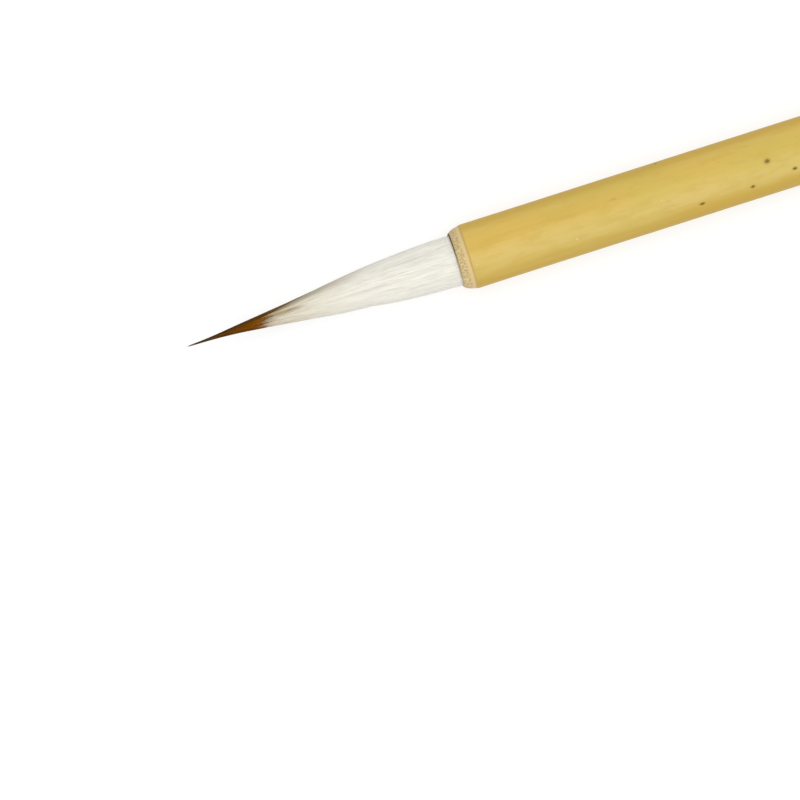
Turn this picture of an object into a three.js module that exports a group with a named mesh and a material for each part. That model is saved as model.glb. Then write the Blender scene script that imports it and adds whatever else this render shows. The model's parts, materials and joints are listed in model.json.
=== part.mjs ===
// Large calligraphy brush: a plain bamboo handle with a pointed tuft of mixed hair glued into its mouth.
// Millimetres, +Z up. The brush lies along X with its tip towards -X. The origin is on the surface that it
// lies on, below the middle of its length.
//
// Every solid is turned about the brush's own axis. A profile is a list of [radius, along], where along is
// the distance from the handle's mouth: positive towards the tip of the tuft, negative into the handle.

import * as THREE from "three";

// ---- Driving dimensions ----
const HANDLE_LENGTH = 195;
const HANDLE_RADIUS = 5.85;
const PITH_RADIUS = 2.5; // the culm's natural hollow
const SOCKET_RADIUS = 4.7; // reamed out to seat the tuft
const SOCKET_DEPTH = 14;
const BEVEL_LENGTH = 2.6; // the slope at each end of the handle
const BEVEL_DEPTH = 1;
const BEVEL_EASE = 1.15; // 1 is a straight slope, and more of it is rounder towards the full radius
const RIM_SHARE = 0.35; // the share of the depth that is the rounding next to the end face
const RIM_EASE = 6; // how quickly that rounding fades along the slope

const PLUG_LENGTH = 8;
const PLUG_RECESS = 0.4; // the plug's face lies this far inside the handle's end
const PLUG_HOLE_RADIUS = 1; // for a hanging loop

const TUFT_LENGTH = 50; // free hair, from the mouth to the tip
const TUFT_RADIUS = 4.5; // at the mouth
const TUFT_BELLY = 1.8; // how long the tuft stays full
const TUFT_POINT = 1.65; // how hollow its sides are towards the tip
const ROOT_LENGTH = 12; // hair inside the socket
const ROOT_RADIUS = 3.9; // where the thread grips it
const FLARE_LENGTH = 8; // the root opens from the thread to the mouth over this length

const THREAD_TURNS = 5;
const THREAD_RADIUS = 0.25;
const SEAL_THICKNESS = 0.8;
const GLUE_TOP = -4; // the glue stops this far down the socket
const GLUE_WALL = 0.2;

// Soft hair bends. The free hair turns as one on a ball just outside the mouth, over a cup in the root.
const BEND_ALONG = 2.5;
const BALL_GAP = 0.25;
const CUP_RIM = -0.2;

const GAP = 0.1; // between pieces that touch on the real brush
const HANDLE_SEGMENTS = 40;
const INNER_SEGMENTS = 24;

// A culm is never quite round. The brush lies on its flattest side, a strip three facets wide.
const FLAT_REACH = Math.cos((3 * Math.PI) / HANDLE_SEGMENTS); // the flat's depth, as a share of the radius
const AXIS_HEIGHT = HANDLE_RADIUS * FLAT_REACH;
const MOUTH_X = (TUFT_LENGTH - HANDLE_LENGTH) / 2;

// ---- Materials ----
const matte = (color, roughness) => new THREE.MeshStandardMaterial({ color, roughness, metalness: 0 });
const bamboo = matte(0xdebd6d, 0.4);
const plugWood = matte(0x8a5a32, 0.55);
const whiteHair = matte(0xeeebe1, 0.6);
const paleHair = matte(0xcdb894, 0.6);
const brownHair = matte(0x75450d, 0.5);
const threadCotton = matte(0xd8cdb4, 0.9);
const rosin = matte(0x5a3413, 0.35);
const glue = matte(0xd9c48c, 0.3);

// ---- Shared geometry ----
const brush = new THREE.Group();
brush.position.set(MOUTH_X, 0, AXIS_HEIGHT);
brush.rotation.z = Math.PI / 2; // a profile's +Y, towards the tip, becomes the row's -X

// Turns a profile about the brush's axis, with a facet and not a corner underneath.
function turned(name, profile, material, segments = INNER_SEGMENTS) {
  const points = profile.map(([radius, along]) => new THREE.Vector2(radius, along));
  const geometry = new THREE.LatheGeometry(points, segments, Math.PI / segments);
  const mesh = new THREE.Mesh(geometry, material);
  mesh.name = name;
  brush.add(mesh);
  return mesh;
}

// Evenly spaced points of a curve radius(along).
function curvePoints(radius, from, to, steps) {
  return Array.from({ length: steps + 1 }, (_, i) => {
    const along = from + ((to - from) * i) / steps;
    return [radius(along), along];
  });
}

// ---- Handle ----

// An eased slope with a rounded rim, from the handle's end face out to its full radius.
function bevelPoints(endAlong, inward) {
  const steps = 8;
  return Array.from({ length: steps + 1 }, (_, i) => {
    const left = 1 - i / steps;
    const slope = (1 - RIM_SHARE) * left ** BEVEL_EASE;
    const rim = RIM_SHARE * left ** RIM_EASE;
    return [HANDLE_RADIUS - BEVEL_DEPTH * (slope + rim), endAlong + inward * BEVEL_LENGTH * (1 - left)];
  });
}

function addHandle() {
  const profile = [
    [SOCKET_RADIUS, -SOCKET_DEPTH],
    [PITH_RADIUS, -SOCKET_DEPTH],
    [PITH_RADIUS, -HANDLE_LENGTH],
    ...bevelPoints(-HANDLE_LENGTH, 1),
    ...bevelPoints(0, -1).reverse(),
    [SOCKET_RADIUS, 0],
    [SOCKET_RADIUS, -SOCKET_DEPTH],
  ];
  const { geometry } = turned("bamboo_handle", profile, bamboo, HANDLE_SEGMENTS);
  const position = geometry.getAttribute("position");
  for (let i = 0; i < position.count; i += 1) {
    const radius = Math.hypot(position.getX(i), position.getZ(i));
    const isOutside = radius > SOCKET_RADIUS + GAP;
    if (isOutside) position.setZ(i, Math.max(position.getZ(i), -radius * FLAT_REACH));
  }
  geometry.computeVertexNormals();
}

// The plug closes the hollow at the handle's far end. Its hole takes a hanging loop.
function addTailPlug() {
  const radius = PITH_RADIUS - GAP;
  const outside = PLUG_RECESS - HANDLE_LENGTH;
  const inside = outside + PLUG_LENGTH;
  const profile = [
    [PLUG_HOLE_RADIUS, inside],
    [PLUG_HOLE_RADIUS, outside],
    [radius, outside],
    [radius, inside],
    [PLUG_HOLE_RADIUS, inside],
  ];
  turned("tail_plug", profile, plugWood);
}

// ---- What holds the root ----

const SEAL_TOP = -ROOT_LENGTH - GAP;
const SEAL_FOOT = SEAL_TOP - SEAL_THICKNESS;

// Rosin melted over the hair ends makes a shallow button.
function addRootSeal() {
  const rim = 0.3;
  const profile = [
    [0, SEAL_FOOT],
    [ROOT_RADIUS - rim, SEAL_FOOT],
    [ROOT_RADIUS, SEAL_FOOT + rim],
    [ROOT_RADIUS, SEAL_TOP],
    [0, SEAL_TOP],
  ];
  turned("root_seal", profile, rosin);
}

// The thread's turns lie side by side round the root.
function addBindingThread() {
  const inner = ROOT_RADIUS + GAP / 2;
  const foot = -ROOT_LENGTH + 0.3;
  const pitch = 2 * THREAD_RADIUS;
  const turns = [];
  for (let turn = 0; turn < THREAD_TURNS; turn += 1) {
    for (const angle of [-60, 0, 60]) {
      const a = THREE.MathUtils.degToRad(angle);
      const middle = foot + (turn + 0.5) * pitch;
      turns.push([inner + THREAD_RADIUS * Math.cos(a), middle + THREAD_RADIUS * Math.sin(a)]);
    }
  }
  const top = foot + THREAD_TURNS * pitch;
  turned("binding_thread", [[inner, foot], ...turns, [inner, top], [inner, foot]], threadCotton);
}

// A cup of set glue between the root and the socket.
function addSocketGlue() {
  const outer = SOCKET_RADIUS - GAP;
  const inner = outer - GLUE_WALL;
  const foot = GAP - SOCKET_DEPTH;
  const floor = SEAL_FOOT - GAP;
  const profile = [
    [0, foot],
    [outer, foot],
    [outer, GLUE_TOP],
    [inner, GLUE_TOP],
    [inner, floor],
    [0, floor],
  ];
  turned("socket_glue", profile, glue);
}

// ---- Tuft ----

// The hair is laid up in groups, from the outside in. Each group leaves a share of the radius to the groups
// under it, and ends where its own hairs end.
const GROUPS = [
  { name: "cover_hair", ends: 36, leaves: 0.83, leavesAtEnd: 0.8, material: whiteHair },
  { name: "waist_hair", ends: 14, leaves: 0.82, leavesAtEnd: 0.9, material: paleHair },
  { name: "belly_hair", ends: 27, leaves: 0.74, leavesAtEnd: 0.85, material: paleHair },
  { name: "throat_hair", ends: 40, leaves: 0.62, leavesAtEnd: 0.75, material: brownHair },
  { name: "tip_hair", ends: TUFT_LENGTH, leaves: 0, leavesAtEnd: 0, material: brownHair },
];
const CLOSING_LENGTH = 3; // once a group has ended, the one under it closes up over this length

// The outside of the whole tuft: a long curve to the point, and a slight flare inside the socket.
function tuftRadius(along) {
  if (along >= 0) return TUFT_RADIUS * (1 - (along / TUFT_LENGTH) ** TUFT_BELLY) ** TUFT_POINT;
  const toMouth = THREE.MathUtils.smoothstep(along, -FLARE_LENGTH, 0);
  return THREE.MathUtils.lerp(ROOT_RADIUS, TUFT_RADIUS, toMouth);
}

// The radius under a group, which is the radius over the next one.
function boundary(index, along) {
  let radius = tuftRadius(along);
  for (const { ends, leaves, leavesAtEnd } of GROUPS.slice(0, index + 1)) {
    const worn = THREE.MathUtils.clamp(along / ends, 0, 1);
    const closed = THREE.MathUtils.smoothstep(along, ends, ends + CLOSING_LENGTH);
    radius *= THREE.MathUtils.lerp(THREE.MathUtils.lerp(leaves, leavesAtEnd, worn), 1, closed);
  }
  return radius;
}

const BALL_RADIUS = tuftRadius(BEND_ALONG);

// Where a sphere round the middle of the bend lies at a radius, on the side towards the handle.
function sphereAlong(radius, sphere) {
  return BEND_ALONG - Math.sqrt(Math.max(sphere ** 2 - radius ** 2, 0));
}

function spherePoints(fromRadius, toRadius, sphere, steps) {
  return Array.from({ length: steps + 1 }, (_, i) => {
    const radius = THREE.MathUtils.lerp(fromRadius, toRadius, i / steps);
    return [radius, sphereAlong(radius, sphere)];
  });
}

// Where a group's surface meets the ball.
function meetBall(surface) {
  let along = BEND_ALONG;
  for (let i = 0; i < 30; i += 1) along = sphereAlong(surface(along), BALL_RADIUS);
  return along;
}

// Bound, sealed and glued, the roots of all the groups are one hard block.
function addHairRoot() {
  const cup = BALL_RADIUS + BALL_GAP;
  const rimRadius = Math.sqrt(cup ** 2 - (BEND_ALONG - CUP_RIM) ** 2);
  const profile = [
    [0, -ROOT_LENGTH],
    ...curvePoints(tuftRadius, -ROOT_LENGTH, CUP_RIM, 6),
    ...spherePoints(rimRadius, 0, cup, 5),
  ];
  turned("hair_root", profile, paleHair);
}

// The free hair of a group starts on the ball and runs to the ends of its hairs.
function addHollowGroup(index) {
  const { name, ends, material } = GROUPS[index];
  const outer = (along) => (index === 0 ? tuftRadius(along) : boundary(index - 1, along) - GAP / 2);
  const inner = (along) => boundary(index, along) + GAP / 2;
  const outerStart = meetBall(outer);
  const innerStart = meetBall(inner);
  const profile = [
    ...spherePoints(inner(innerStart), outer(outerStart), BALL_RADIUS, 3),
    ...curvePoints(outer, outerStart, ends, 12).slice(1),
    ...curvePoints(inner, ends, innerStart, 12),
  ];
  turned(name, profile, material);
}

// The innermost group is solid, and its longest hairs are the brush's point.
function addTipHair(index) {
  const { name, ends, material } = GROUPS[index];
  const outer = (along) => boundary(index - 1, along) - GAP / 2;
  const outerStart = meetBall(outer);
  const profile = [
    ...spherePoints(0, outer(outerStart), BALL_RADIUS, 3),
    ...curvePoints(outer, outerStart, ends, 20).slice(1, -1),
    [0, ends],
  ];
  turned(name, profile, material);
}

addHandle();
addTailPlug();
addRootSeal();
addBindingThread();
addSocketGlue();
addHairRoot();
GROUPS.slice(0, -1).forEach((_, index) => addHollowGroup(index));
addTipHair(GROUPS.length - 1);

export default brush;
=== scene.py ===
"""Looks of a large calligraphy brush: a bamboo handle and a pointed tuft of white hair over a brown core.

Metres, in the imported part's frame: the brush lies along X with its tip towards -X, +Z up. Many sizes below
are given as (along, angle, radius): along is the distance from the handle's mouth, positive towards the tip
of the tuft, and angle turns from the top, 0, through +Y.
"""

import json
import math

import bpy
import numpy as np
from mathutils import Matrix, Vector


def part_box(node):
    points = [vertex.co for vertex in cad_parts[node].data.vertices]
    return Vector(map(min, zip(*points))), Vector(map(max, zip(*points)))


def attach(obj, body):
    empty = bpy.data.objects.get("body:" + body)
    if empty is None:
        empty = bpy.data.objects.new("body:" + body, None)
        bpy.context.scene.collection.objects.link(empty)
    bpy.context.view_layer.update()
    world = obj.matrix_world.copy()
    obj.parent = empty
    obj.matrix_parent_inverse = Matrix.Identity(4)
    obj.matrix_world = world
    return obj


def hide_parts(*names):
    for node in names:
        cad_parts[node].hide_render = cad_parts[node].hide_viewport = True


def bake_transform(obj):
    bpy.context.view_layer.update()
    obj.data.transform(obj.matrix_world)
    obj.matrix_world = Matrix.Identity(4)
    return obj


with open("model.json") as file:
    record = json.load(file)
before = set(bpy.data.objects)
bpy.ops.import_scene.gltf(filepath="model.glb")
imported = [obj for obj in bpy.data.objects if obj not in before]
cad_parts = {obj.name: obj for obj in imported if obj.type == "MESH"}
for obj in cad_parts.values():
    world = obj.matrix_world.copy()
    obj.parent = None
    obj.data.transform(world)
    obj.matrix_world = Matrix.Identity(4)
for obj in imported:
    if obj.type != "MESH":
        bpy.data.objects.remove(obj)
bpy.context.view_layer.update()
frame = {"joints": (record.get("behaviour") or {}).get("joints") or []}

MM = 0.001
SEED = 20

# ---- Sizes from the frame ----
handle_low, handle_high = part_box("bamboo_handle")
MOUTH_X = handle_low.x
TAIL_X = handle_high.x
HANDLE_LENGTH = TAIL_X - MOUTH_X
HANDLE_RADIUS = (handle_high.y - handle_low.y) / 2
TUFT_LENGTH = MOUTH_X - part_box("tip_hair")[0].x
AXIS_Z = frame["joints"][0]["pos_m"][2]

# ---- Handle ----
PITH_RADIUS = 2.5 * MM
SOCKET_RADIUS = 4.7 * MM
SOCKET_DEPTH = 14 * MM
BEVEL_LENGTH = 2.6 * MM
BEVEL_DEPTH = 1.0 * MM
BEVEL_EASE = 1.15
RIM_SHARE = 0.35  # the share of the bevel's depth that is the rounding next to the end face
RIM_EASE = 6
LIP = 0.12 * MM  # the rounding where the bevel meets the bore
UNEVENNESS = 0.012 * MM  # how far the skin's waves and flutes dip
PLUG_HOLE_RADIUS = 1 * MM

# ---- Tuft ----
TUFT_RADIUS = 4.49 * MM
TUFT_BELLY = 1.8  # how long the tuft stays full
TUFT_POINT = 1.65  # how hollow its sides are towards the tip
TIP_RADIUS = 0.17 * MM  # the last hairs of the point lie together in a bundle this thick
TIP_BLUNTNESS = 30
TUFT_BOW = 0.23 * MM  # the tuft bows a little towards +Y
ROOT_ALONG = -1.6 * MM  # the strands start inside the mouth


def smoothstep(low, high, value):
    share = np.clip((value - low) / (high - low), 0, 1)
    return share * share * (3 - 2 * share)


def blend_values(first, second, share):
    return first + (second - first) * share


# ======== Meshes ========


def signed_volume(vertices, faces):
    """Positive when the faces of a closed mesh point out."""
    first = vertices[faces[:, 0]]
    volume = 0.0
    for i in range(1, faces.shape[1] - 1):
        volume += np.einsum("ij,ij->", first, np.cross(vertices[faces[:, i]], vertices[faces[:, i + 1]]))
    return volume


def new_object(name, vertices, blocks, material, smooth=True):
    """A mesh object at the origin. blocks are arrays of triangles or of quads. Closed meshes face out."""
    mesh = bpy.data.meshes.new(name)
    vertices = np.asarray(vertices, np.float64).reshape(-1, 3)
    blocks = [np.asarray(block, np.int32) for block in blocks]
    centred = vertices - vertices.mean(0)
    if sum(signed_volume(centred, block) for block in blocks) < 0:
        blocks = [block[:, ::-1] for block in blocks]
    sizes = np.concatenate([np.full(len(block), block.shape[1]) for block in blocks])
    corners = np.concatenate([block.ravel() for block in blocks])
    mesh.vertices.add(len(vertices))
    mesh.vertices.foreach_set("co", vertices.astype(np.float32).ravel())
    mesh.loops.add(len(corners))
    mesh.loops.foreach_set("vertex_index", corners)
    mesh.polygons.add(len(sizes))
    mesh.polygons.foreach_set("loop_start", np.concatenate([[0], np.cumsum(sizes)[:-1]]))
    mesh.polygons.foreach_set("use_smooth", np.full(len(sizes), smooth))
    mesh.update(calc_edges=True)
    mesh.validate()
    mesh.materials.append(material)
    thing = bpy.data.objects.new(name, mesh)
    bpy.context.collection.objects.link(thing)
    return thing


def ring_faces(rings, segments, closed):
    """Quads between rings of vertices, each closed on itself. closed joins the last ring to the first."""
    first = np.arange(rings if closed else rings - 1)[:, None] * segments
    second = (first + segments) % (rings * segments)
    here = np.arange(segments)[None, :]
    ahead = (here + 1) % segments
    return np.stack([first + here, first + ahead, second + ahead, second + here], -1).reshape(-1, 4)


def skinned(name, grid, material, capped):
    """A closed solid over a grid of vertices (rings, segments, 3).

    capped closes the first and the last ring with a fan each. Otherwise they are joined to each other.
    """
    rings, segments, _ = grid.shape
    quads = ring_faces(rings, segments, closed=not capped)
    if not capped:
        return new_object(name, grid, [quads], material)
    here = np.arange(segments)
    ahead = (here + 1) % segments
    start = np.full(segments, rings * segments)
    last = (rings - 1) * segments
    fans = [np.stack([start, ahead, here], -1), np.stack([last + here, last + ahead, start + 1], -1)]
    vertices = np.concatenate([grid.reshape(-1, 3), grid[:1].mean(1), grid[-1:].mean(1)])
    return new_object(name, vertices, [quads, *fans], material)


def axis_point(along, angle, radius):
    """A point of the frame, round the handle's axis."""
    return np.stack([MOUTH_X - along, radius * np.sin(angle), AXIS_Z + radius * np.cos(angle)], -1)


def turned_grid(profile, segments):
    """Arrays of along, angle and radius, (rings, segments), from a profile of (along, radius)."""
    along, radius = np.array(profile).T
    angle = np.linspace(0, 2 * math.pi, segments, endpoint=False)
    ones = np.ones((len(profile), segments))
    return along[:, None] * ones, angle[None, :] * ones, radius[:, None] * ones


def turned(name, profile, segments, material, capped, shape=None):
    """A solid turned about the handle's axis. shape(along, angle, radius) may change the radius."""
    along, angle, radius = turned_grid(profile, segments)
    if shape is not None:
        radius = shape(along, angle, radius)
    return skinned(name, axis_point(along, angle, radius), material, capped)


def arc(centre, reach, start, stop, steps):
    """Points of an ellipse's arc in (along, radius), from one angle to another in degrees."""
    angles = np.radians(np.linspace(start, stop, steps))
    return [(centre[0] + reach[0] * math.cos(a), centre[1] + reach[1] * math.sin(a)) for a in angles]


# ======== Materials ========


class Surface:
    """A material with a Principled shader, and short ways to add the nodes that drive it."""

    def __init__(self, name, roughness, **settings):
        self.material = bpy.data.materials.new(name)
        self.material.use_nodes = True
        self.tree = self.material.node_tree
        self.shader = self.tree.nodes["Principled BSDF"]
        self.shader.inputs["Roughness"].default_value = roughness
        for socket, value in settings.items():
            self.shader.inputs[socket.replace("_", " ")].default_value = value

    def feed(self, socket, value):
        if isinstance(value, bpy.types.NodeSocket):
            self.tree.links.new(value, socket)
        else:
            socket.default_value = value

    def node(self, kind, *values, **properties):
        """A node of that kind with its first inputs fed, and its first output."""
        node = self.tree.nodes.new(kind)
        for key, value in properties.items():
            setattr(node, key, value)
        for socket, value in zip([s for s in node.inputs if s.enabled], values):
            if value is not None:
                self.feed(socket, value)
        return next(s for s in node.outputs if s.enabled)

    def math(self, operation, *values):
        return self.node("ShaderNodeMath", *values, operation=operation)

    def times(self, first, second):
        return self.math("MULTIPLY", first, second)

    def split(self, vector):
        return tuple(self.node("ShaderNodeSeparateXYZ", vector).node.outputs)

    def ramp(self, value, *stops):
        """A colour ramp with stops of (position, colour)."""
        output = self.node("ShaderNodeValToRGB", value)
        ramp = output.node.color_ramp
        while len(ramp.elements) < len(stops):
            ramp.elements.new(1)
        for element, (position, colour) in zip(ramp.elements, stops):
            element.position = position
            element.color = (*colour, 1)
        return output

    def band(self, value, start, stop, low=0.0, high=1.0):
        """low before start, high after stop, and smooth between them."""
        return self.node(
            "ShaderNodeMapRange", value, start, stop, low, high, interpolation_type="SMOOTHSTEP"
        )

    def mix(self, factor, first, second):
        node = self.tree.nodes.new("ShaderNodeMix")
        node.data_type = "RGBA"
        self.feed(node.inputs[0], factor)
        for socket, value in ((node.inputs[6], first), (node.inputs[7], second)):
            self.feed(socket, value if isinstance(value, bpy.types.NodeSocket) else (*value, 1))
        return node.outputs[2]

    def coordinates(self):
        return self.tree.nodes.new("ShaderNodeTexCoord").outputs["Object"]

    def places(self, scale):
        """Object coordinates, scaled by (x, y, z)."""
        return self.node("ShaderNodeMapping", self.coordinates(), None, None, scale)

    def attribute(self, name):
        node = self.tree.nodes.new("ShaderNodeAttribute")
        node.attribute_name = name
        return self.split(node.outputs["Vector"])

    def noise(self, vector, scale, detail=2.0, roughness=0.5):
        return self.node("ShaderNodeTexNoise", vector, scale, detail, roughness)

    def colour(self, value):
        self.feed(self.shader.inputs["Base Color"], value)

    def bump(self, height, strength, distance):
        output = self.node("ShaderNodeBump")
        for socket, value in (("Strength", strength), ("Distance", distance), ("Height", height)):
            self.feed(output.node.inputs[socket], value)
        self.feed(self.shader.inputs["Normal"], output)


SKIN_GOLD = (0.685, 0.468, 0.105)
SKIN_GREEN = (0.622, 0.472, 0.105)
# Tint for paler streaks and for a painted highlight.
SKIN_PALE_STREAK_AND_HIGHLIGHT = (0.70, 0.545, 0.19)
# Tint of the painted shade at the sides of the handle.
SKIN_PAINTED_SIDE_SHADE = (0.585, 0.378, 0.055)
SKIN_DARK = (0.55, 0.36, 0.06)
# Tint of the painted shade on the -Y side of the handle.
SKIN_PAINTED_SHADE = (0.32, 0.21, 0.03)
SPECK_BROWN = (0.15, 0.085, 0.02)
SPECK_PALE = (0.85, 0.75, 0.45)
MARK_HALO = (0.32, 0.19, 0.02)
MARK_CORE = (0.10, 0.048, 0.003)
GRAIN_BEIGE = (0.76, 0.605, 0.325)
GRAIN_SHADE = (0.51, 0.375, 0.16)
# Tint of the painted shade on the cut end.
GRAIN_PAINTED_SHADE = (0.45, 0.33, 0.14)
GRAIN_PALE = (0.71, 0.53, 0.25)
GRAIN_DOT = (0.26, 0.155, 0.055)
GRAIN_LINE = (0.44, 0.26, 0.05)
RIM_SHADOW = (0.075, 0.045, 0.02)
BORE_BROWN = (0.30, 0.19, 0.085)

# Marks on the culm's skin, as (distance from the mouth, place across the handle towards +Y, length, width)
# in mm, and how dark each is.
MARKS = [
    (56.3, -0.35, 1.15, 0.85, 0.8),
    (60.7, -3.0, 0.85, 0.6, 0.95),
    (52.9, -3.75, 0.85, 0.55, 0.9),
    (43.65, -3.9, 0.95, 0.55, 0.95),
    (38.3, 5.4, 0.6, 0.45, 0.6),
    (29.05, 1.5, 1.2, 0.5, 0.12),
    (32.6, 2.4, 1.0, 0.4, 0.06),
    (38.0, -1.75, 0.9, 0.4, 0.1),
    (16.0, 3.7, 0.5, 0.3, 0.05),
    (48.3, 2.0, 0.4, 0.25, 0.1),
]
# Pale specks, as (distance from the mouth, place across, width) in mm.
PALE_SPECKS = [(21.0, -3.1, 0.5), (3.1, -2.1, 0.3), (36.9, -1.3, 0.3), (7.7, -1.2, 0.25)]


def on_skin(from_mouth, across):
    """The point of the skin at a distance from the mouth and a place across the handle, both in mm."""
    side = across * MM
    return (MOUTH_X + from_mouth * MM, side, AXIS_Z + math.sqrt(HANDLE_RADIUS**2 - side**2))


def add_marks(surface, skin):
    """Brown spots with a paler halo and edges that noise breaks up, and a few pale specks."""
    coordinates = surface.coordinates()
    shake = surface.noise(coordinates, 3000.0)
    for from_mouth, across, length, width, darkness in MARKS:
        away = surface.node(
            "ShaderNodeVectorMath", coordinates, on_skin(from_mouth, across), operation="SUBTRACT"
        )
        squashed = surface.node("ShaderNodeVectorMath", away, (width / length, 1, 1), operation="MULTIPLY")
        reach = surface.node("ShaderNodeVectorMath", squashed, operation="LENGTH").node.outputs["Value"]
        size = width * MM
        reach = surface.math("ADD", reach, surface.times(shake, 0.35 * size))
        halo = surface.band(reach, 1.15 * size, 0.4 * size, 0.0, 0.6 * darkness)
        core = surface.band(reach, 0.72 * size, 0.35 * size, 0.0, 0.85 * darkness)
        skin = surface.mix(halo, skin, MARK_HALO)
        skin = surface.mix(core, skin, MARK_CORE)
    for from_mouth, across, width in PALE_SPECKS:
        reach = surface.node(
            "ShaderNodeVectorMath", coordinates, on_skin(from_mouth, across), operation="DISTANCE"
        ).node.outputs["Value"]
        speck = surface.band(reach, 0.6 * width * MM, 0.2 * width * MM, 0.0, 0.35)
        skin = surface.mix(speck, skin, SPECK_PALE)
    return skin


def add_specks(surface, skin, from_mouth, height):
    """Small brown specks at random places on the rest of the culm."""
    cells = surface.node("ShaderNodeTexVoronoi", surface.places((0.8, 1, 1)), 210.0)
    distance, colour = cells, cells.node.outputs["Color"]
    chance = surface.split(colour)[0]
    size = surface.band(chance, 0.62, 1.0, 0.0, 0.11)
    speck = surface.math("LESS_THAN", distance, size)
    elsewhere = surface.math(
        "MAXIMUM",
        surface.band(from_mouth, 66 * MM, 68 * MM),
        surface.band(height, -0.5 * MM, -1.5 * MM),
    )
    return surface.mix(surface.times(surface.times(speck, elsewhere), 0.75), skin, SPECK_BROWN)


def skin_colour(surface, from_mouth, across, height):
    """Golden, greener away from the mouth, with soft streaks and faint fibres, painted shade at both sides
    and more on the -Y side, and a painted highlight along the top.
    """
    patches = surface.noise(surface.places((45, 150, 150)), 1.0, 2.0)
    streaks = surface.noise(surface.places((30, 420, 420)), 1.0, 3.0, 0.6)
    fibres = surface.noise(surface.places((90, 4200, 4200)), 1.0, 2.0, 0.6)
    mottle = surface.noise(surface.places((230, 600, 600)), 1.0, 3.0, 0.6)
    along = surface.band(from_mouth, 3 * MM, 20 * MM, 0.0, 0.55)
    green = surface.math("ADD", along, surface.band(patches, 0.38, 0.62, -0.35, 0.45))
    green = surface.math("MINIMUM", surface.math("MAXIMUM", green, 0.0), 1.0)
    skin = surface.mix(green, SKIN_GOLD, SKIN_GREEN)
    side = surface.math("ABSOLUTE", across)
    # Painted shade: darker towards both sides of the handle.
    skin = surface.mix(surface.band(side, 3.2 * MM, 5.2 * MM, 0.0, 0.8), skin, SKIN_PAINTED_SIDE_SHADE)
    # Painted shade: a little darker on the -Y side.
    skin = surface.mix(surface.band(across, 0.3 * MM, -3.6 * MM, 0.0, 0.14), skin, SKIN_PAINTED_SHADE)
    # A painted highlight: a soft lighter band along the top, a little towards -Y, that noise moves about.
    drift = surface.math("MULTIPLY_ADD", patches, 4 * MM, across)
    light = surface.times(surface.band(drift, 2.6 * MM, -0.2 * MM), surface.band(drift, -2.9 * MM, -0.6 * MM))
    light = surface.times(light, surface.band(height, 0.0, 2 * MM, 0.0, 0.6))
    skin = surface.mix(light, skin, SKIN_PALE_STREAK_AND_HIGHLIGHT)
    skin = surface.mix(surface.band(streaks, 0.5, 0.75, 0.0, 0.25), skin, SKIN_PALE_STREAK_AND_HIGHLIGHT)
    skin = surface.mix(surface.band(streaks, 0.47, 0.25, 0.0, 0.25), skin, SKIN_DARK)
    skin = surface.mix(surface.band(mottle, 0.45, 0.7, 0.0, 0.3), skin, SKIN_DARK)
    skin = surface.mix(surface.band(fibres, 0.4, 0.75, 0.0, 0.12), skin, SKIN_DARK)
    skin = add_specks(surface, skin, from_mouth, height)
    return add_marks(surface, skin), streaks, fibres


def cut_end_colour(surface, from_mouth, end, y):
    """The cut end: dots of fibre bundles in looser grain round the bore, and a dense pale ring outside.

    It has painted shade towards +Y, and a painted shadow along the rim of the mouth, stronger towards +Y.
    """
    section = surface.places((0.7, 1, 1))
    dots = surface.node("ShaderNodeTexVoronoi", section, 3200.0)
    grain = surface.ramp(surface.noise(section, 3600.0, 2.0), (0.35, GRAIN_SHADE), (0.65, GRAIN_BEIGE))
    cut = surface.mix(surface.band(dots, 0.46, 0.26, 0.0, 0.42), grain, GRAIN_DOT)
    wander = surface.times(surface.noise(surface.places((1, 1, 1)), 260.0), 0.25 * MM)
    # Painted shade: the cut end darker towards +Y.
    cut = surface.mix(surface.band(y, 1.8 * MM, 4.6 * MM, 0.0, 0.3), cut, GRAIN_PAINTED_SHADE)
    edge = surface.math("SUBTRACT", end, wander)
    cut = surface.mix(surface.band(edge, 1.15 * MM, 1.4 * MM, 0.0, 0.9), cut, GRAIN_PALE)
    # A painted shadow along the rim of the mouth, light on the -Y side and strongest on the +Y side.
    shadow = surface.band(y, -4.6 * MM, 4.6 * MM, 0.15, 0.95)
    rim = surface.band(from_mouth, 0.32 * MM, 0.12 * MM)
    return surface.mix(surface.times(rim, shadow), cut, RIM_SHADOW), edge


def bamboo_material():
    surface = Surface("bamboo", roughness=0.55, Specular_IOR_Level=0.18)
    x, y, z = surface.split(surface.coordinates())
    height = surface.math("SUBTRACT", z, AXIS_Z)
    radius = surface.math("SQRT", surface.math("ADD", surface.times(y, y), surface.times(height, height)))
    from_mouth = surface.math("SUBTRACT", x, MOUTH_X)
    end = surface.math("MINIMUM", from_mouth, surface.math("SUBTRACT", TAIL_X, x))

    skin, streaks, fibres = skin_colour(surface, from_mouth, y, height)
    cut, edge = cut_end_colour(surface, from_mouth, end, y)
    outside = surface.mix(surface.band(edge, 2.05 * MM, 2.3 * MM), cut, skin)
    line = surface.times(
        surface.band(edge, 1.78 * MM, 1.98 * MM), surface.band(edge, 2.33 * MM, 2.08 * MM, 0.0, 0.6)
    )
    outside = surface.mix(line, outside, GRAIN_LINE)

    bore = surface.band(radius, SOCKET_RADIUS + 0.05 * MM, SOCKET_RADIUS + 0.01 * MM)
    inside = surface.times(bore, surface.band(end, 0.0, 0.02 * MM))
    surface.colour(surface.mix(inside, outside, BORE_BROWN))
    surface.bump(surface.math("ADD", streaks, surface.times(fibres, 0.4)), 0.12, 0.05 * MM)
    return surface.material


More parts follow.
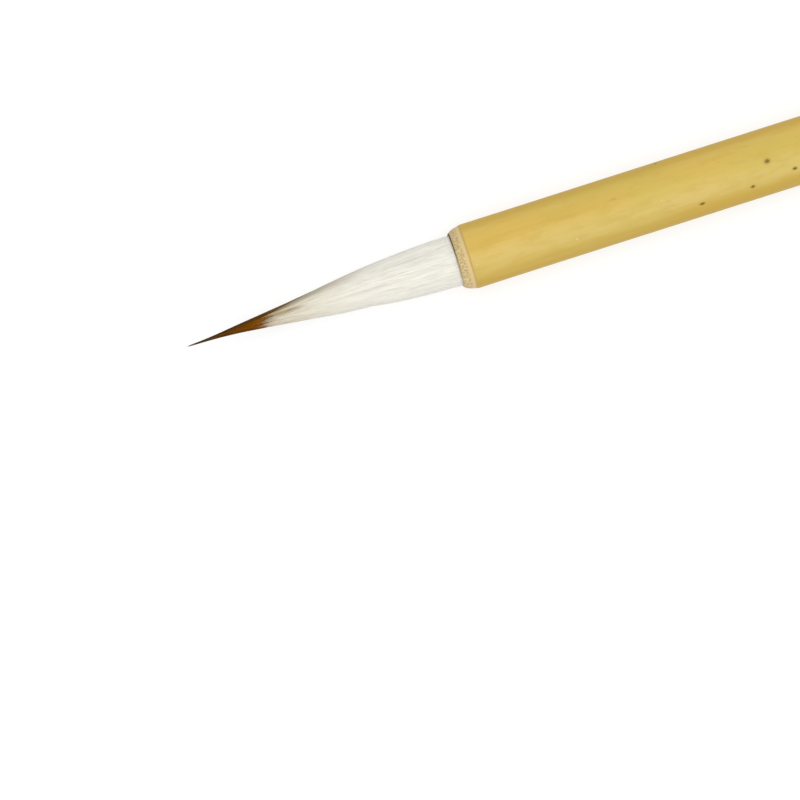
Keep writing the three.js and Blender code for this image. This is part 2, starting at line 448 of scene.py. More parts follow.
def hair_surface(name, roughness, specular):
    """A hair material, and the values that it is coloured by.

    They are how far along the tuft a point is (0 to 1), the sine and cosine of its angle, how far along its
    own hair it is, and a random number for each hair.
    """
    surface = Surface(name, roughness=roughness, Specular_IOR_Level=specular)
    share, sine, cosine = surface.attribute("hair_place")
    run, seed, _ = surface.attribute("hair_grain")
    return surface, share, sine, cosine, run, seed


def streak_noise(surface, place, lengthwise, crosswise, detail=2.0):
    """Noise drawn out along the hair."""
    scales = (lengthwise, crosswise, crosswise)
    vector = surface.node("ShaderNodeCombineXYZ", *[surface.times(v, k) for v, k in zip(place, scales)])
    return surface.noise(vector, 1.0, detail)


def white_hair_material():
    """White at the mouth and cream towards the end of the white hair, with the brown core showing through."""
    surface, share, sine, cosine, run, seed = hair_surface("white_hair", 0.5, 0.3)
    colour = surface.ramp(
        share,
        (0.0, (0.965, 0.945, 0.865)),
        (0.35, (0.95, 0.925, 0.84)),
        (0.52, (0.905, 0.865, 0.74)),
        (0.62, (0.865, 0.80, 0.66)),
        (0.72, (0.83, 0.745, 0.62)),
    )
    place = (share, sine, cosine)

    # Broad and fine streaks along the hair, and single darker hairs.
    streaks = streak_noise(surface, place, 5.0, 10.0, 3.0)
    fine = streak_noise(surface, place, 14.0, 30.0, 2.0)
    colour = surface.mix(surface.band(streaks, 0.5, 0.28, 0.0, 0.3), colour, (0.72, 0.71, 0.62))
    colour = surface.mix(surface.band(streaks, 0.6, 0.75, 0.0, 0.3), colour, (0.97, 0.94, 0.83))
    colour = surface.mix(surface.band(fine, 0.48, 0.3, 0.0, 0.35), colour, (0.68, 0.65, 0.56))
    colour = surface.mix(surface.band(seed, 0.7, 1.0, 0.0, 0.25), colour, (0.72, 0.69, 0.58))

    # The core shows through where the white hair thins out, and most on the +Y side.
    thin = surface.times(surface.band(fine, 0.54, 0.38, 0.0, 0.6), surface.band(share, 0.44, 0.66))
    colour = surface.mix(thin, colour, (0.44, 0.36, 0.21))
    warm = surface.times(surface.band(sine, -0.1, 0.4, 0.0, 0.4), surface.band(share, 0.57, 0.65))
    colour = surface.mix(warm, colour, (0.80, 0.68, 0.25))
    olive = surface.times(surface.band(sine, -0.12, 0.08), surface.band(sine, 0.42, 0.22))
    olive = surface.times(olive, surface.band(share, 0.52, 0.62, 0.0, 0.7))
    olive = surface.times(olive, surface.band(fine, 0.68, 0.42, 0.25, 1.0))
    colour = surface.mix(surface.times(olive, surface.band(cosine, 0.0, 0.3)), colour, (0.36, 0.28, 0.14))

    # Grey and then brown along the +Y edge.
    edge = surface.times(surface.band(sine, 0.45, 0.8, 0.0, 0.68), surface.band(share, 0.22, 0.6))
    edge = surface.times(edge, surface.band(cosine, -0.35, 0.1, 0.35, 1.0))
    colour = surface.mix(edge, colour, (0.33, 0.28, 0.165))
    deep = surface.times(surface.band(sine, 0.2, 0.7, 0.0, 0.6), surface.band(share, 0.55, 0.64))
    deep = surface.times(deep, surface.band(fine, 0.7, 0.4, 0.4, 1.0))
    colour = surface.mix(deep, colour, (0.16, 0.105, 0.045))
    ends = surface.band(run, 0.86, 1.0, 0.0, 0.5)
    surface.colour(surface.mix(ends, colour, (0.55, 0.42, 0.26)))
    return surface.material


def pale_hair_material():
    """The hidden hair of the core."""
    surface, share, sine, cosine, _, seed = hair_surface("pale_hair", 0.55, 0.3)
    streaks = streak_noise(surface, (share, sine, cosine), 3.0, 8.0)
    colour = surface.ramp(streaks, (0.35, (0.66, 0.60, 0.46)), (0.65, (0.78, 0.73, 0.60)))
    surface.colour(surface.mix(surface.band(seed, 0.6, 1.0, 0.0, 0.5), colour, (0.56, 0.46, 0.30)))
    return surface.material


def brown_hair_material():
    """Red-brown where it comes out, nearly black towards the point, and darker on the +Y side."""
    surface, share, sine, cosine, _, seed = hair_surface("brown_hair", 0.6, 0.04)
    colour = surface.ramp(
        share,
        (0.50, (0.34, 0.27, 0.15)),
        (0.62, (0.29, 0.18, 0.06)),
        (0.69, (0.25, 0.095, 0.008)),
        (0.76, (0.21, 0.066, 0.001)),
        (0.85, (0.14, 0.046, 0.002)),
        (0.92, (0.12, 0.064, 0.025)),
        (0.975, (0.16, 0.10, 0.06)),
        (1.0, (0.30, 0.23, 0.17)),
    )
    place = (share, sine, cosine)
    streaks = streak_noise(surface, place, 7.0, 3.5)
    fine = streak_noise(surface, place, 12.0, 8.0)
    colour = surface.mix(surface.band(streaks, 0.52, 0.32, 0.0, 0.6), colour, (0.06, 0.022, 0.002))
    colour = surface.mix(surface.band(fine, 0.5, 0.32, 0.0, 0.45), colour, (0.07, 0.028, 0.003))
    light = surface.times(surface.band(fine, 0.54, 0.7, 0.0, 0.55), surface.band(share, 0.9, 0.8))
    colour = surface.mix(light, colour, (0.36, 0.15, 0.012))
    colour = surface.mix(surface.band(seed, 0.75, 1.0, 0.0, 0.3), colour, (0.32, 0.13, 0.012))
    dark = surface.times(surface.band(sine, 0.15, 0.8, 0.0, 0.7), surface.band(share, 0.62, 0.76, 0.5, 1.0))
    surface.colour(surface.mix(dark, colour, (0.05, 0.024, 0.005)))
    return surface.material


def bonded_hair_material():
    surface = Surface("bonded_hair", roughness=0.5, Specular_IOR_Level=0.4)
    fibres = surface.noise(surface.places((90, 5000, 5000)), 1.0, 2.0, 0.6)
    stains = surface.noise(surface.places((300, 300, 300)), 1.0, 3.0)
    colour = surface.ramp(fibres, (0.3, (0.50, 0.38, 0.22)), (0.7, (0.68, 0.57, 0.39)))
    surface.colour(surface.mix(surface.band(stains, 0.5, 0.7, 0.0, 0.5), colour, (0.32, 0.17, 0.06)))
    surface.bump(fibres, 0.5, 0.08 * MM)
    return surface.material


PLY_PITCH = 0.9  # mm of thread for each turn of its plies


def thread_material():
    """Two-ply cotton: the plies wind round the thread as it runs."""
    surface = Surface("thread", roughness=0.85, Specular_IOR_Level=0.2, Sheen_Weight=0.3)
    length, turn, _ = surface.attribute("thread_place")
    twist = surface.times(length, 2 * math.pi / PLY_PITCH)
    phase = surface.math("ADD", twist, surface.times(turn, 4 * math.pi))
    plies = surface.math("SINE", phase)
    fuzz = surface.noise(surface.places((1, 1, 1)), 9000.0, 2.0)
    height = surface.math("ADD", plies, surface.times(fuzz, 0.8))
    # Painted shade: the grooves between the plies are darker than their crowns, following the bump.
    light = surface.band(height, -0.8, 1.4)
    surface.colour(surface.ramp(light, (0.0, (0.50, 0.42, 0.29)), (1.0, (0.74, 0.67, 0.52))))
    surface.bump(height, 0.6, 0.04 * MM)
    return surface.material


def rosin_material():
    surface = Surface("rosin", roughness=0.28, Specular_IOR_Level=0.5, Coat_Weight=0.3)
    swirls = surface.noise(surface.places((500, 500, 500)), 1.0, 3.0)
    grit = surface.noise(surface.places((1, 1, 1)), 6000.0, 2.0)
    colour = surface.ramp(swirls, (0.3, (0.07, 0.02, 0.004)), (0.7, (0.19, 0.065, 0.012)))
    surface.colour(surface.mix(surface.band(grit, 0.62, 0.75, 0.0, 0.4), colour, (0.30, 0.13, 0.03)))
    surface.bump(swirls, 0.4, 0.2 * MM)
    return surface.material


def glue_material():
    surface = Surface("glue", roughness=0.22, Specular_IOR_Level=0.5, Coat_Weight=0.2)
    clouds = surface.noise(surface.places((350, 350, 350)), 1.0, 3.0)
    bubbles = surface.node("ShaderNodeTexVoronoi", surface.places((1, 1, 1)), 2200.0)
    colour = surface.ramp(clouds, (0.3, (0.52, 0.36, 0.13)), (0.7, (0.74, 0.60, 0.31)))
    surface.colour(surface.mix(surface.band(bubbles, 0.2, 0.1, 0.0, 0.5), colour, (0.82, 0.74, 0.52)))
    surface.bump(surface.math("ADD", clouds, surface.band(bubbles, 0.1, 0.25)), 0.3, 0.08 * MM)
    return surface.material


def plug_material():
    """Dark turned hardwood, seen on its end grain."""
    surface = Surface("plug_wood", roughness=0.55, Specular_IOR_Level=0.25)
    rings = surface.noise(surface.places((40, 900, 450)), 1.0, 3.0)
    pores = surface.node("ShaderNodeTexVoronoi", surface.places((0.1, 1, 1)), 4200.0)
    colour = surface.ramp(rings, (0.3, (0.13, 0.055, 0.018)), (0.7, (0.29, 0.14, 0.05)))
    surface.colour(surface.mix(surface.band(pores, 0.3, 0.15, 0.0, 0.7), colour, (0.05, 0.02, 0.008)))
    surface.bump(surface.math("ADD", rings, surface.band(pores, 0.15, 0.3)), 0.3, 0.05 * MM)
    return surface.material


# ======== Handle ========


def stand_for(piece, node):
    """The piece takes the place of a node of the handle."""
    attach(piece, "handle")
    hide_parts(node)


def node_span(node):
    """A node's two ends, as distances along the brush, the one further in first, and its radius."""
    low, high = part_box(node)
    return MOUTH_X - high.x, MOUTH_X - low.x, (high.y - low.y) / 2


def handle_shape(along, angle, radius):
    """The culm's slight unevenness, away from its ends, and the flattest side that it lies on."""
    outer = smoothstep(HANDLE_RADIUS - BEVEL_DEPTH, HANDLE_RADIUS, radius)
    middle = smoothstep(0, 12 * MM, -along) * smoothstep(0, 12 * MM, HANDLE_LENGTH + along)
    waves = 0.5 * np.sin(-along / (9 * MM) + 2 * np.cos(angle))
    waves = waves + 0.5 * np.sin(-along / (23 * MM) + 3 * angle)
    flutes = np.sin(7 * angle + 1) * 0.4 + np.sin(13 * angle + 2) * 0.25
    radius = radius - UNEVENNESS * outer * middle * (1.4 + waves + flutes)
    below = -np.cos(angle) * radius
    return np.where(below > AXIS_Z, radius * AXIS_Z / np.maximum(below, AXIS_Z), radius)


def end_profile(bore):
    """The outline of one end of the handle: from the bore over the lip, the end face and the bevel."""
    bevel_foot = HANDLE_RADIUS - BEVEL_DEPTH
    points = [(-6 * LIP, bore), (-3 * LIP, bore)]
    points += arc((-LIP, bore + LIP), (LIP, LIP), 270, 360, 5)[:-1]
    points += [(0, bore + LIP), (0, max(bore + LIP, (bore + LIP + bevel_foot) / 2))]
    for left in np.linspace(1, 0, 30):
        depth = (1 - RIM_SHARE) * left**BEVEL_EASE + RIM_SHARE * left**RIM_EASE
        points.append((-BEVEL_LENGTH * (1 - left), HANDLE_RADIUS - BEVEL_DEPTH * depth))
    return points


def make_handle():
    mouth = end_profile(SOCKET_RADIUS)
    tail = [(-HANDLE_LENGTH - along, radius) for along, radius in reversed(end_profile(PITH_RADIUS))]
    barrel = [(a, HANDLE_RADIUS) for a in np.linspace(-BEVEL_LENGTH, -HANDLE_LENGTH + BEVEL_LENGTH, 130)]
    inside = [
        (-HANDLE_LENGTH + 20 * MM, PITH_RADIUS),
        (-SOCKET_DEPTH - 5 * MM, PITH_RADIUS),
        (-SOCKET_DEPTH, PITH_RADIUS),
        (-SOCKET_DEPTH, SOCKET_RADIUS),
        (-SOCKET_DEPTH / 2, SOCKET_RADIUS),
    ]
    profile = mouth + barrel[1:-1] + tail + inside
    handle = turned("bamboo_culm", profile, 160, bamboo_material(), False, handle_shape)
    stand_for(handle, "bamboo_handle")


def make_tail_plug():
    outside, inside, radius = node_span("tail_plug")
    radius += 0.03 * MM
    soft = 0.25 * MM
    hole = PLUG_HOLE_RADIUS
    profile = [
        (inside, hole),
        (blend_values(inside, outside, 0.5), hole),
        *arc((outside + soft, hole + soft), (soft, soft), 270, 180, 7),
        (outside - 0.05 * MM, (hole + radius) / 2),
        *arc((outside + soft, radius - soft), (soft, soft), 180, 90, 7),
        (blend_values(inside, outside, 0.5), radius),
        *arc((inside - soft, radius - soft), (soft, soft), 90, 0, 7),
    ]
    plug = turned("tail_plug_turned", profile, 96, plug_material(), False)
    stand_for(plug, "tail_plug")


# ======== What holds the root ========


def make_hair_root():
    """The bonded root: a bundle of hair, drawn in by the thread, with its hollow end towards the tuft."""
    foot_radius = node_span("root_seal")[2]
    foot = node_span("hair_root")[0]
    thread_top = node_span("binding_thread")[1]
    rim = ROOT_ALONG - 0.2 * MM
    wall = [(a, root_radius(a, foot_radius, thread_top)) for a in np.linspace(foot, rim, 30)]
    hollow = [(rim - 0.25 * MM, 3.6 * MM), (rim - 0.8 * MM, 2.4 * MM), (rim - 1.1 * MM, 1.0 * MM)]

    def grooves(along, angle, radius):
        drift = 3 * np.sin(along / (2 * MM))
        fine = np.sin(61 * angle + drift) + np.sin(97 * angle + 1) + np.sin(139 * angle)
        return radius * (1 + 0.004 * fine)

    profile = [(foot + 0.05 * MM, 1.0 * MM), (foot, 2.6 * MM), *wall, *hollow]
    root = turned("hair_root_bundle", profile, 360, bonded_hair_material(), True, grooves)
    stand_for(root, "hair_root")


def root_radius(along, foot_radius, thread_top):
    """The root is narrow under the thread, and opens towards the mouth."""
    return blend_values(foot_radius, TUFT_RADIUS * 0.975, smoothstep(thread_top, 0, along))


THREAD_TURNS = 5
THREAD_SIDES = 14


def make_thread():
    foot, top, outer = node_span("binding_thread")
    reach = (top - foot) / THREAD_TURNS * 0.49
    share = np.linspace(0, 1, THREAD_TURNS * 40)
    centre_along = foot + reach + (top - foot - 2 * reach) * share
    centre_angle = 2 * math.pi * THREAD_TURNS * share
    thin = reach * np.minimum(1, 0.35 + 12 * np.minimum(share, 1 - share))
    around = np.linspace(0, 2 * math.pi, THREAD_SIDES, endpoint=False)
    along = centre_along[:, None] + thin[:, None] * np.cos(around)
    radius = outer - reach + thin[:, None] * np.sin(around)
    grid = axis_point(along, centre_angle[:, None] * np.ones(THREAD_SIDES), radius)
    thread = skinned("thread_winding", grid, thread_material(), True)
    length = np.repeat(centre_angle * outer / MM, THREAD_SIDES)
    turn = np.tile(around / (2 * math.pi), len(share))
    place = np.stack([length, turn, 0 * turn], -1)
    place = np.concatenate([place, place[:1], place[-1:]])
    attribute = thread.data.attributes.new("thread_place", "FLOAT_VECTOR", "POINT")
    attribute.data.foreach_set("vector", place.ravel())
    stand_for(thread, "binding_thread")


def make_root_seal():
    """A domed button of rosin that set unevenly over the ends of the hair."""
    foot, top, radius = node_span("root_seal")
    dome = arc((top, 0), (foot - top, radius), 4, 90, 14)
    rim = arc((top - 0.15 * MM, radius - 0.15 * MM), (0.15 * MM, 0.15 * MM), 90, 0, 4)

    def uneven(along, angle, radius):
        return radius * (1 - 0.012 * (1.6 + np.sin(3 * angle + 1) + 0.6 * np.sin(7 * angle)))

    seal = turned("rosin_button", dome + rim[1:] + [(top, 0.5 * MM)], 96, rosin_material(), True, uneven)
    stand_for(seal, "root_seal")


def make_glue():
    """A thin cup of set glue with a runny rim."""
    foot, top, outer = node_span("socket_glue")
    floor = node_span("root_seal")[0] - 0.1 * MM
    inner = outer - 0.2 * MM
    soft = 0.09 * MM
    profile = [
        (foot, 0.5 * MM),
        (foot, outer - soft),
        (foot + soft, outer),
        *[(a, outer) for a in np.linspace(foot + 1 * MM, top - 2 * MM, 5)],
        (top - soft, outer),
        (top, outer - soft),
        (top - soft, inner),
        *[(a, inner) for a in np.linspace(top - 2 * MM, floor + 0.4 * MM, 5)],
        (floor, inner - 0.4 * MM),
        (floor, 0.5 * MM),
    ]
    along, angle, radius = turned_grid(profile, 120)
    runs = 0.35 * np.sin(2 * angle + 1) + 0.3 * np.sin(5 * angle) + 0.2 * np.sin(11 * angle + 2) - 0.85
    along = along + MM * runs * smoothstep(top - 3 * MM, top, along)
    glue = skinned("glue_film", axis_point(along, angle, radius), glue_material(), True)
    stand_for(glue, "socket_glue")


# ======== Tuft ========


# Where the tuft is thinner than a turned shape, as (distance from the mouth, half length, depth) in mm, and
# the angle in degrees.
HOLLOWS = [(16.8, 2.6, 0.2, -90), (27, 5, 0.07, -90), (28.5, 6.5, 0.14, 90)]


def tuft_radius(along, angle):
    share = np.clip(along / TUFT_LENGTH, 0, 1)
    radius = TUFT_RADIUS * (1 - share**TUFT_BELLY) ** TUFT_POINT
    for middle, half_length, depth, side in HOLLOWS:
        near = np.exp(-(((along - middle * MM) / (half_length * MM)) ** 2))
        facing = (0.5 + 0.5 * np.cos(angle - math.radians(side))) ** 2
        radius = radius - depth * MM * near * facing
    return np.hypot(radius, TIP_RADIUS * np.sqrt(1 - share**TIP_BLUNTNESS))


def tuft_point(along, angle, radius):
    """A point of the frame, round the tuft's own middle line."""
    fade = 1 - smoothstep(39 * MM, TUFT_LENGTH, along)
    rise = 0.6 * smoothstep(ROOT_ALONG, 3 * MM, along) + 0.4 * smoothstep(5 * MM, 15 * MM, along)
    bow = TUFT_BOW * rise * fade
    return axis_point(along, angle, radius) + np.stack([0 * bow, bow, 0 * bow], -1)


COVER_REACH = 36.9 * MM  # from the mouth to where most of the white hair ends
COVER_CLUMPS = 44

# Where it ends earlier and the brown core shows, as (angle and half width in degrees, mm).
SHORT_SIDES = [
    (85, 34, 10.2),
    (7, 8, 1.8),
    (150, 9, 3.0),
    (205, 8, 2.2),
    (-115, 12, 2.6),
]


def cover_reach(angle):
    """How far from the mouth the white hair reaches, for an angle round the tuft."""
    waves = 0.25 * np.sin(5 * angle + 1) + 0.25 * np.sin(9 * angle + 2) + 0.3 * np.sin(17 * angle)
    reach = COVER_REACH + MM * waves
    for middle, width, depth in SHORT_SIDES:
        away = np.degrees(np.angle(np.exp(1j * (angle - math.radians(middle)))))
        reach = reach - depth * MM * np.exp(-((away / width) ** 2))
    return reach


def write_places(thing, along, angle, run, seed):
    """Stores where each vertex is on the tuft, for the materials, and a layout for baking made from it."""
    mesh = thing.data
    share = along / TUFT_LENGTH
    place = np.stack([share, np.sin(angle), np.cos(angle)], -1)
    grain = np.stack([run, seed, 0 * run], -1)
    for name, values in (("hair_place", place), ("hair_grain", grain)):
        attribute = mesh.attributes.new(name, "FLOAT_VECTOR", "POINT")
        attribute.data.foreach_set("vector", values.astype(np.float32).ravel())
    corners = np.empty(len(mesh.loops), np.int32)
    mesh.loops.foreach_get("vertex_index", corners)
    sizes = np.empty(len(mesh.polygons), np.int32)
    mesh.polygons.foreach_get("loop_total", sizes)
    u = np.clip(share[corners], 0.001, 0.999)
    v = (angle[corners] / (2 * math.pi)) % 1
    starts = np.concatenate([[0], np.cumsum(sizes)[:-1]])
    wraps = np.maximum.reduceat(v, starts) - np.minimum.reduceat(v, starts) > 0.5
    v = np.where(np.repeat(wraps, sizes) & (v < 0.5), 1.0, v)
    layout = mesh.uv_layers.new(name="OFBake")
    layout.uv.foreach_set("vector", np.stack([u, np.clip(v, 0.001, 0.999)], -1).astype(np.float32).ravel())


BED_RINGS = 130
BED_SEGMENTS = 300


def make_bed(random, name, share, stop, material):
    """The mass of hair under the top strands: a grooved solid at a share of the tuft's radius."""
    stations = blend_values(ROOT_ALONG, stop, np.linspace(0, 1, BED_RINGS) ** 0.9)
    along, angle, _ = turned_grid([(a, 0.0) for a in stations], BED_SEGMENTS)
    radius = tuft_radius(along, angle) * share(along, angle)
    for waves in random.choice(np.arange(24, 130), 14, replace=False):
        phase = random.uniform(0, 2 * math.pi)
        drift = random.uniform(0.5, 2.0) * np.sin(along / (random.uniform(7, 16) * MM) + phase)
        radius = radius * (1 + 0.0028 * np.sin(waves * angle + phase + drift))
    bed = skinned(name, tuft_point(along, angle, radius), material, True)
    per_ring = np.repeat(np.linspace(0, 1, BED_RINGS) * 0.9, BED_SEGMENTS)
    flat = [np.append(values.ravel(), [values[0, 0], values[-1, 0]]) for values in (along, angle)]
    run = np.append(per_ring, [0, 0.9])
    write_places(bed, *flat, run, np.full(len(run), 0.4))
    return bed


def spread(random, count):
    """Evenly spread numbers from 0 to 1 in a random order."""
    return (random.permutation(count) + random.random(count)) / count


SIDES = 3  # of each strand
STRAND_POINTS = 17


def strands(name, along, angle, radius, thick, seed, material):
    """One mesh of thin closed strands. The arrays are (strands, points), and seed is (strands,)."""
    count, points = along.shape
    centre = tuft_point(along, angle, radius)
    forward = np.gradient(centre, axis=1)
    forward /= np.linalg.norm(forward, axis=2, keepdims=True) + 1e-12
    outward = np.stack([np.zeros_like(angle), np.sin(angle), np.cos(angle)], -1)
    sideways = np.cross(forward, outward)
    sideways /= np.linalg.norm(sideways, axis=2, keepdims=True) + 1e-12
    outward = np.cross(sideways, forward)
    rolls = 2 * math.pi * np.arange(SIDES) / SIDES + 2 * math.pi * seed[:, None]
    ring = (
        np.cos(rolls)[:, None, :, None] * outward[:, :-1, None, :]
        + np.sin(rolls)[:, None, :, None] * sideways[:, :-1, None, :]
    )
    tubes = centre[:, :-1, None, :] + ring * thick[:, :-1, None, None]
    per_strand = (points - 1) * SIDES + 1
    vertices = np.concatenate([tubes.reshape(count, -1, 3), centre[:, -1:, :]], 1)

    here = np.arange(points - 2)[:, None] * SIDES + np.arange(SIDES)[None, :]
    ahead = np.arange(points - 2)[:, None] * SIDES + (np.arange(SIDES)[None, :] + 1) % SIDES
    walls = np.stack([here, here + SIDES, ahead + SIDES, ahead], -1).reshape(-1, 4)
    last = (points - 2) * SIDES
    cap = np.array([[0, 1, 2]])
    point = np.array([[last + i, per_strand - 1, last + (i + 1) % SIDES] for i in range(SIDES)])
    offsets = (np.arange(count) * per_strand)[:, None, None]
    quads = (walls[None] + offsets).reshape(-1, 4)
    triangles = (np.concatenate([cap, point])[None] + offsets).reshape(-1, 3)
    thing = new_object(name, vertices, [quads, triangles], material)

    run = np.repeat(np.linspace(0, 1, points)[None], count, 0)
    seeds = np.repeat(seed[:, None], points, 1)
    write_places(thing, *[per_vertex(values) for values in (along, angle, run, seeds)])
    return thing


def per_vertex(values):
    """Values per point of each strand, repeated for the strand's vertices."""
    tubes = np.repeat(values[:, :-1], SIDES, 1)
    return np.concatenate([tubes, values[:, -1:]], 1).ravel()


def lay_strands(random, count, ends, share, clumps, clumping, wander, thickness):
    """Arrays for strands(): each strand runs from the root to its own end at a share of the tuft's radius.

    ends gives each strand's end for its angle, and share(along, angle, depth) its share of the radius.
    Towards their ends the strands gather into clumps.
    """
    base = spread(random, count) * 2 * math.pi
    end = ends(base)
    run = np.linspace(0, 1, STRAND_POINTS)[None, :] ** 0.9
    along = ROOT_ALONG + (end[:, None] - ROOT_ALONG) * run
    centres = (np.arange(clumps) + random.uniform(-0.3, 0.3, clumps)) * 2 * math.pi / clumps
    nearest = centres[np.argmin(np.abs(np.angle(np.exp(1j * (base[:, None] - centres[None])))), 1)]
    towards = np.angle(np.exp(1j * (nearest - base)))
    gather = clumping * smoothstep(18 * MM, 36 * MM, along)
    phase = random.random((count, 1)) * 2 * math.pi
    waves = random.uniform(1.0, 2.2, (count, 1))
    reach = np.maximum(tuft_radius(along, base[:, None]), 0.8 * MM)
    drift = wander * np.sin(phase + waves * along / (9 * MM)) / reach
    angle = base[:, None] + gather * towards[:, None] + drift
    radius = tuft_radius(along, angle) * share(along, angle, random.random((count, 1)))
    taper = 1 - 0.8 * smoothstep(0.7, 1.0, run)
    thick = thickness * random.uniform(0.75, 1.25, (count, 1)) * taper
    return along, angle, radius, thick, random.random(count)


BED_SHARE = 0.965
COVER_STRANDS = 2000  # in each of two layers
SHORT_STRANDS = 0.35  # the share of them that end far inside the tuft's length


def make_cover_hair(random, material):
    juts = random.uniform(-1, 1, COVER_CLUMPS)  # how far each clump reaches past the others

    def bed_share(along, angle):
        reach = cover_reach(angle)
        early = reach - 0.3 * (COVER_REACH - reach)
        return blend_values(BED_SHARE, 0.7, smoothstep(early - 5.0 * MM, early - 2.2 * MM, along))

    def ends(base):
        count = len(base)
        short = random.random(count) < SHORT_STRANDS
        reach = cover_reach(base)
        clump = np.round(base * COVER_CLUMPS / (2 * math.pi)).astype(int) % COVER_CLUMPS
        reach = reach + juts[clump] * (0.3 * MM + 0.33 * (COVER_REACH - reach))
        full = reach - random.exponential(1.2, count) * MM + random.normal(0.4, 0.6, count) * MM
        return np.where(short, random.uniform(16, 31, count) * MM, np.clip(full, 14 * MM, 38.2 * MM))

    def share(along, angle, depth):
        return 1.005 - 0.045 * depth

    pieces = [make_bed(random, "cover_hair_bed", bed_share, 38 * MM, material)]
    for layer in range(2):
        arrays = lay_strands(
            random, COVER_STRANDS, ends, share, COVER_CLUMPS, 0.45, 0.08 * MM, 0.042 * MM
        )
        pieces.append(strands(f"cover_hair_strands_{layer + 1}", *arrays, material))
    return pieces


def core_rise(along, angle):
    """0 where the core lies under the white hair, and 1 where it is the tuft's surface."""
    reach = cover_reach(angle)
    return smoothstep(reach - 7 * MM, reach - 1 * MM, along)


def make_core_bed(random, material):
    def bed_share(along, angle):
        return blend_values(0.86, BED_SHARE, core_rise(along, angle))

    return make_bed(random, "tip_hair_bed", bed_share, 49.3 * MM, material)


CORE_CLUMPS = 18


def make_core_hair(random, name, count, shortest, longest, outer, inner, material, thickness):
    """Strands that end between shortest and longest, in mm from the mouth.

    Under the white hair they fill the tuft from outer, as a share of its radius, in to inner times that.
    """

    def ends(base):
        return (longest - (longest - shortest) * random.random(len(base)) ** 1.4) * MM

    def share(along, angle, depth):
        top = blend_values(outer, 1.0, core_rise(along, angle))
        return top * (1 - (1 - inner) * depth)

    arrays = lay_strands(random, count, ends, share, CORE_CLUMPS, 0.35, 0.06 * MM, thickness)
    return strands(name, *arrays, material)


def bend_with_tuft(piece, slot, *nodes):
    """The piece's placement is applied to its mesh, and it takes the place of the nodes, if any are given."""
    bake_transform(piece)
    if nodes:
        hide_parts(*nodes)


def make_tuft():
    random = np.random.default_rng(SEED)
    white, pale, brown = white_hair_material(), pale_hair_material(), brown_hair_material()
    bed, *layers = make_cover_hair(random, white)
    bend_with_tuft(bed, "white_hair", "cover_hair")
    for layer in layers:
        bend_with_tuft(layer, "white_hair")
    waist = make_core_hair(random, "waist_hair_strands", 500, 8, 15, 0.84, 0.85, pale, 0.08 * MM)
    bend_with_tuft(waist, "pale_hair", "waist_hair")
    belly = make_core_hair(random, "belly_hair_strands", 900, 20, 27, 0.80, 0.8, pale, 0.07 * MM)
    bend_with_tuft(belly, "pale_hair", "belly_hair")
    throat = make_core_hair(random, "throat_hair_strands", 1500, 37, 44, 0.88, 0.96, brown, 0.04 * MM)
    bend_with_tuft(throat, "brown_hair", "throat_hair")
    tip = make_core_hair(random, "tip_hair_strands", 1500, 43, 49.7, 0.86, 0.92, brown, 0.036 * MM)
    bend_with_tuft(tip, "brown_hair", "tip_hair")
    core = make_core_bed(random, brown)
    bend_with_tuft(core, "brown_hair")


# ======== Stage ========


def aim(thing, place, target):
    """Points a light or camera's -Z at the target."""
    thing.location = place
    direction = np.array(target) - np.array(place)
    tilt = math.pi / 2 + math.atan2(direction[2], math.hypot(direction[0], direction[1]))
    thing.rotation_euler = (tilt, 0, math.atan2(-direction[0], direction[1]))


STAGE_REACH = 3.0


def glowing_white(name, glow, base):
    """A matte white that gives off glow of its own, over a grey of base."""
    surface = Surface(name, roughness=0.9, Specular_IOR_Level=0.1, Emission_Strength=glow)
    surface.shader.inputs["Base Color"].default_value = (base, base, base, 1)
    surface.shader.inputs["Emission Color"].default_value = (1, 1, 1, 1)
    return surface


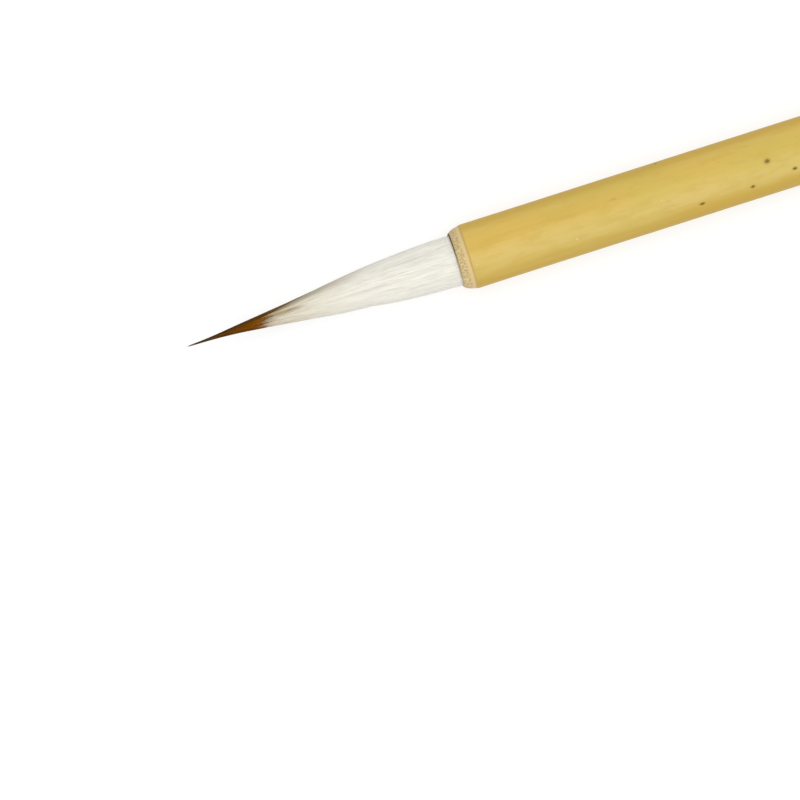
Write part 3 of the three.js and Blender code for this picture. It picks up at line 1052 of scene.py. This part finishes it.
def make_backdrop():
    """A pale dome behind everything, as light as the floor's far side. It casts no light and no shadow."""
    surface = glowing_white("backdrop_white", 0.88, 0.0)
    rings, segments = 24, 64
    rise = np.radians(np.linspace(-1, 89, rings))[:, None] * np.ones(segments)
    turn = np.linspace(0, 2 * math.pi, segments, endpoint=False)
    grid = np.stack([np.cos(rise) * np.cos(turn), np.cos(rise) * np.sin(turn), np.sin(rise)], -1)
    quads = ring_faces(rings, segments, False)
    backdrop = new_object("backdrop", STAGE_REACH * grid, [quads], surface.material)
    backdrop.visible_diffuse = backdrop.visible_glossy = backdrop.visible_shadow = False
    backdrop.visible_transmission = backdrop.visible_volume_scatter = False


def make_floor():
    """A white table that glows a little, so that it stays white and shadows on it stay light."""
    surface = glowing_white("floor_white", 0.7, 0.32)
    half = STAGE_REACH
    corners = [(-half, -half, 0), (half, -half, 0), (half, half, 0), (-half, half, 0)]
    floor = new_object("floor", corners, [np.array([[0, 1, 2, 3]])], surface.material, smooth=False)


# Square lamps, as name, place, size in metres and power in watts.
LAMPS = [
    ("key", (-0.04, 0.0, 0.8), 0.8, 4.6),
    ("side", (-0.08, -0.5, 0.16), 0.4, 0.35),
]
LAMP_TARGET = (-0.02, 0, 0)


def make_lights():
    """Soft light from straight above, a little from the -Y side, and even light from all round."""
    world = bpy.data.worlds.new("studio")
    world.use_nodes = True
    world.node_tree.nodes["Background"].inputs["Color"].default_value = (1, 1, 1, 1)
    world.node_tree.nodes["Background"].inputs["Strength"].default_value = 0.5
    bpy.context.scene.world = world
    for name, place, size, power in LAMPS:
        data = bpy.data.lights.new(name, "AREA")
        data.size = size
        data.energy = power
        lamp = bpy.data.objects.new(name, data)
        bpy.context.collection.objects.link(lamp)
        aim(lamp, place, LAMP_TARGET)


def make_camera():
    """Straight above the tuft's end of the brush, turned so that the brush rises to the right."""
    distance = 0.35
    view_width = 140.8 * MM
    centre_along = 16.8 * MM
    centre_side = -20.36 * MM
    slope = 17.74
    sensor = 36.0
    data = bpy.data.cameras.new("camera")
    data.sensor_width = sensor
    data.lens = sensor * distance / view_width
    camera = bpy.data.objects.new("camera", data)
    bpy.context.collection.objects.link(camera)
    camera.location = (MOUTH_X - centre_along, centre_side, AXIS_Z + distance)
    camera.rotation_euler = (0, 0, math.radians(-slope))
    bpy.context.scene.camera = camera


bpy.context.scene.view_settings.view_transform = "Standard"
make_camera()
make_lights()
make_floor()
make_backdrop()
make_handle()
make_tail_plug()
make_hair_root()
make_thread()
make_root_seal()
make_glue()
make_tuft()
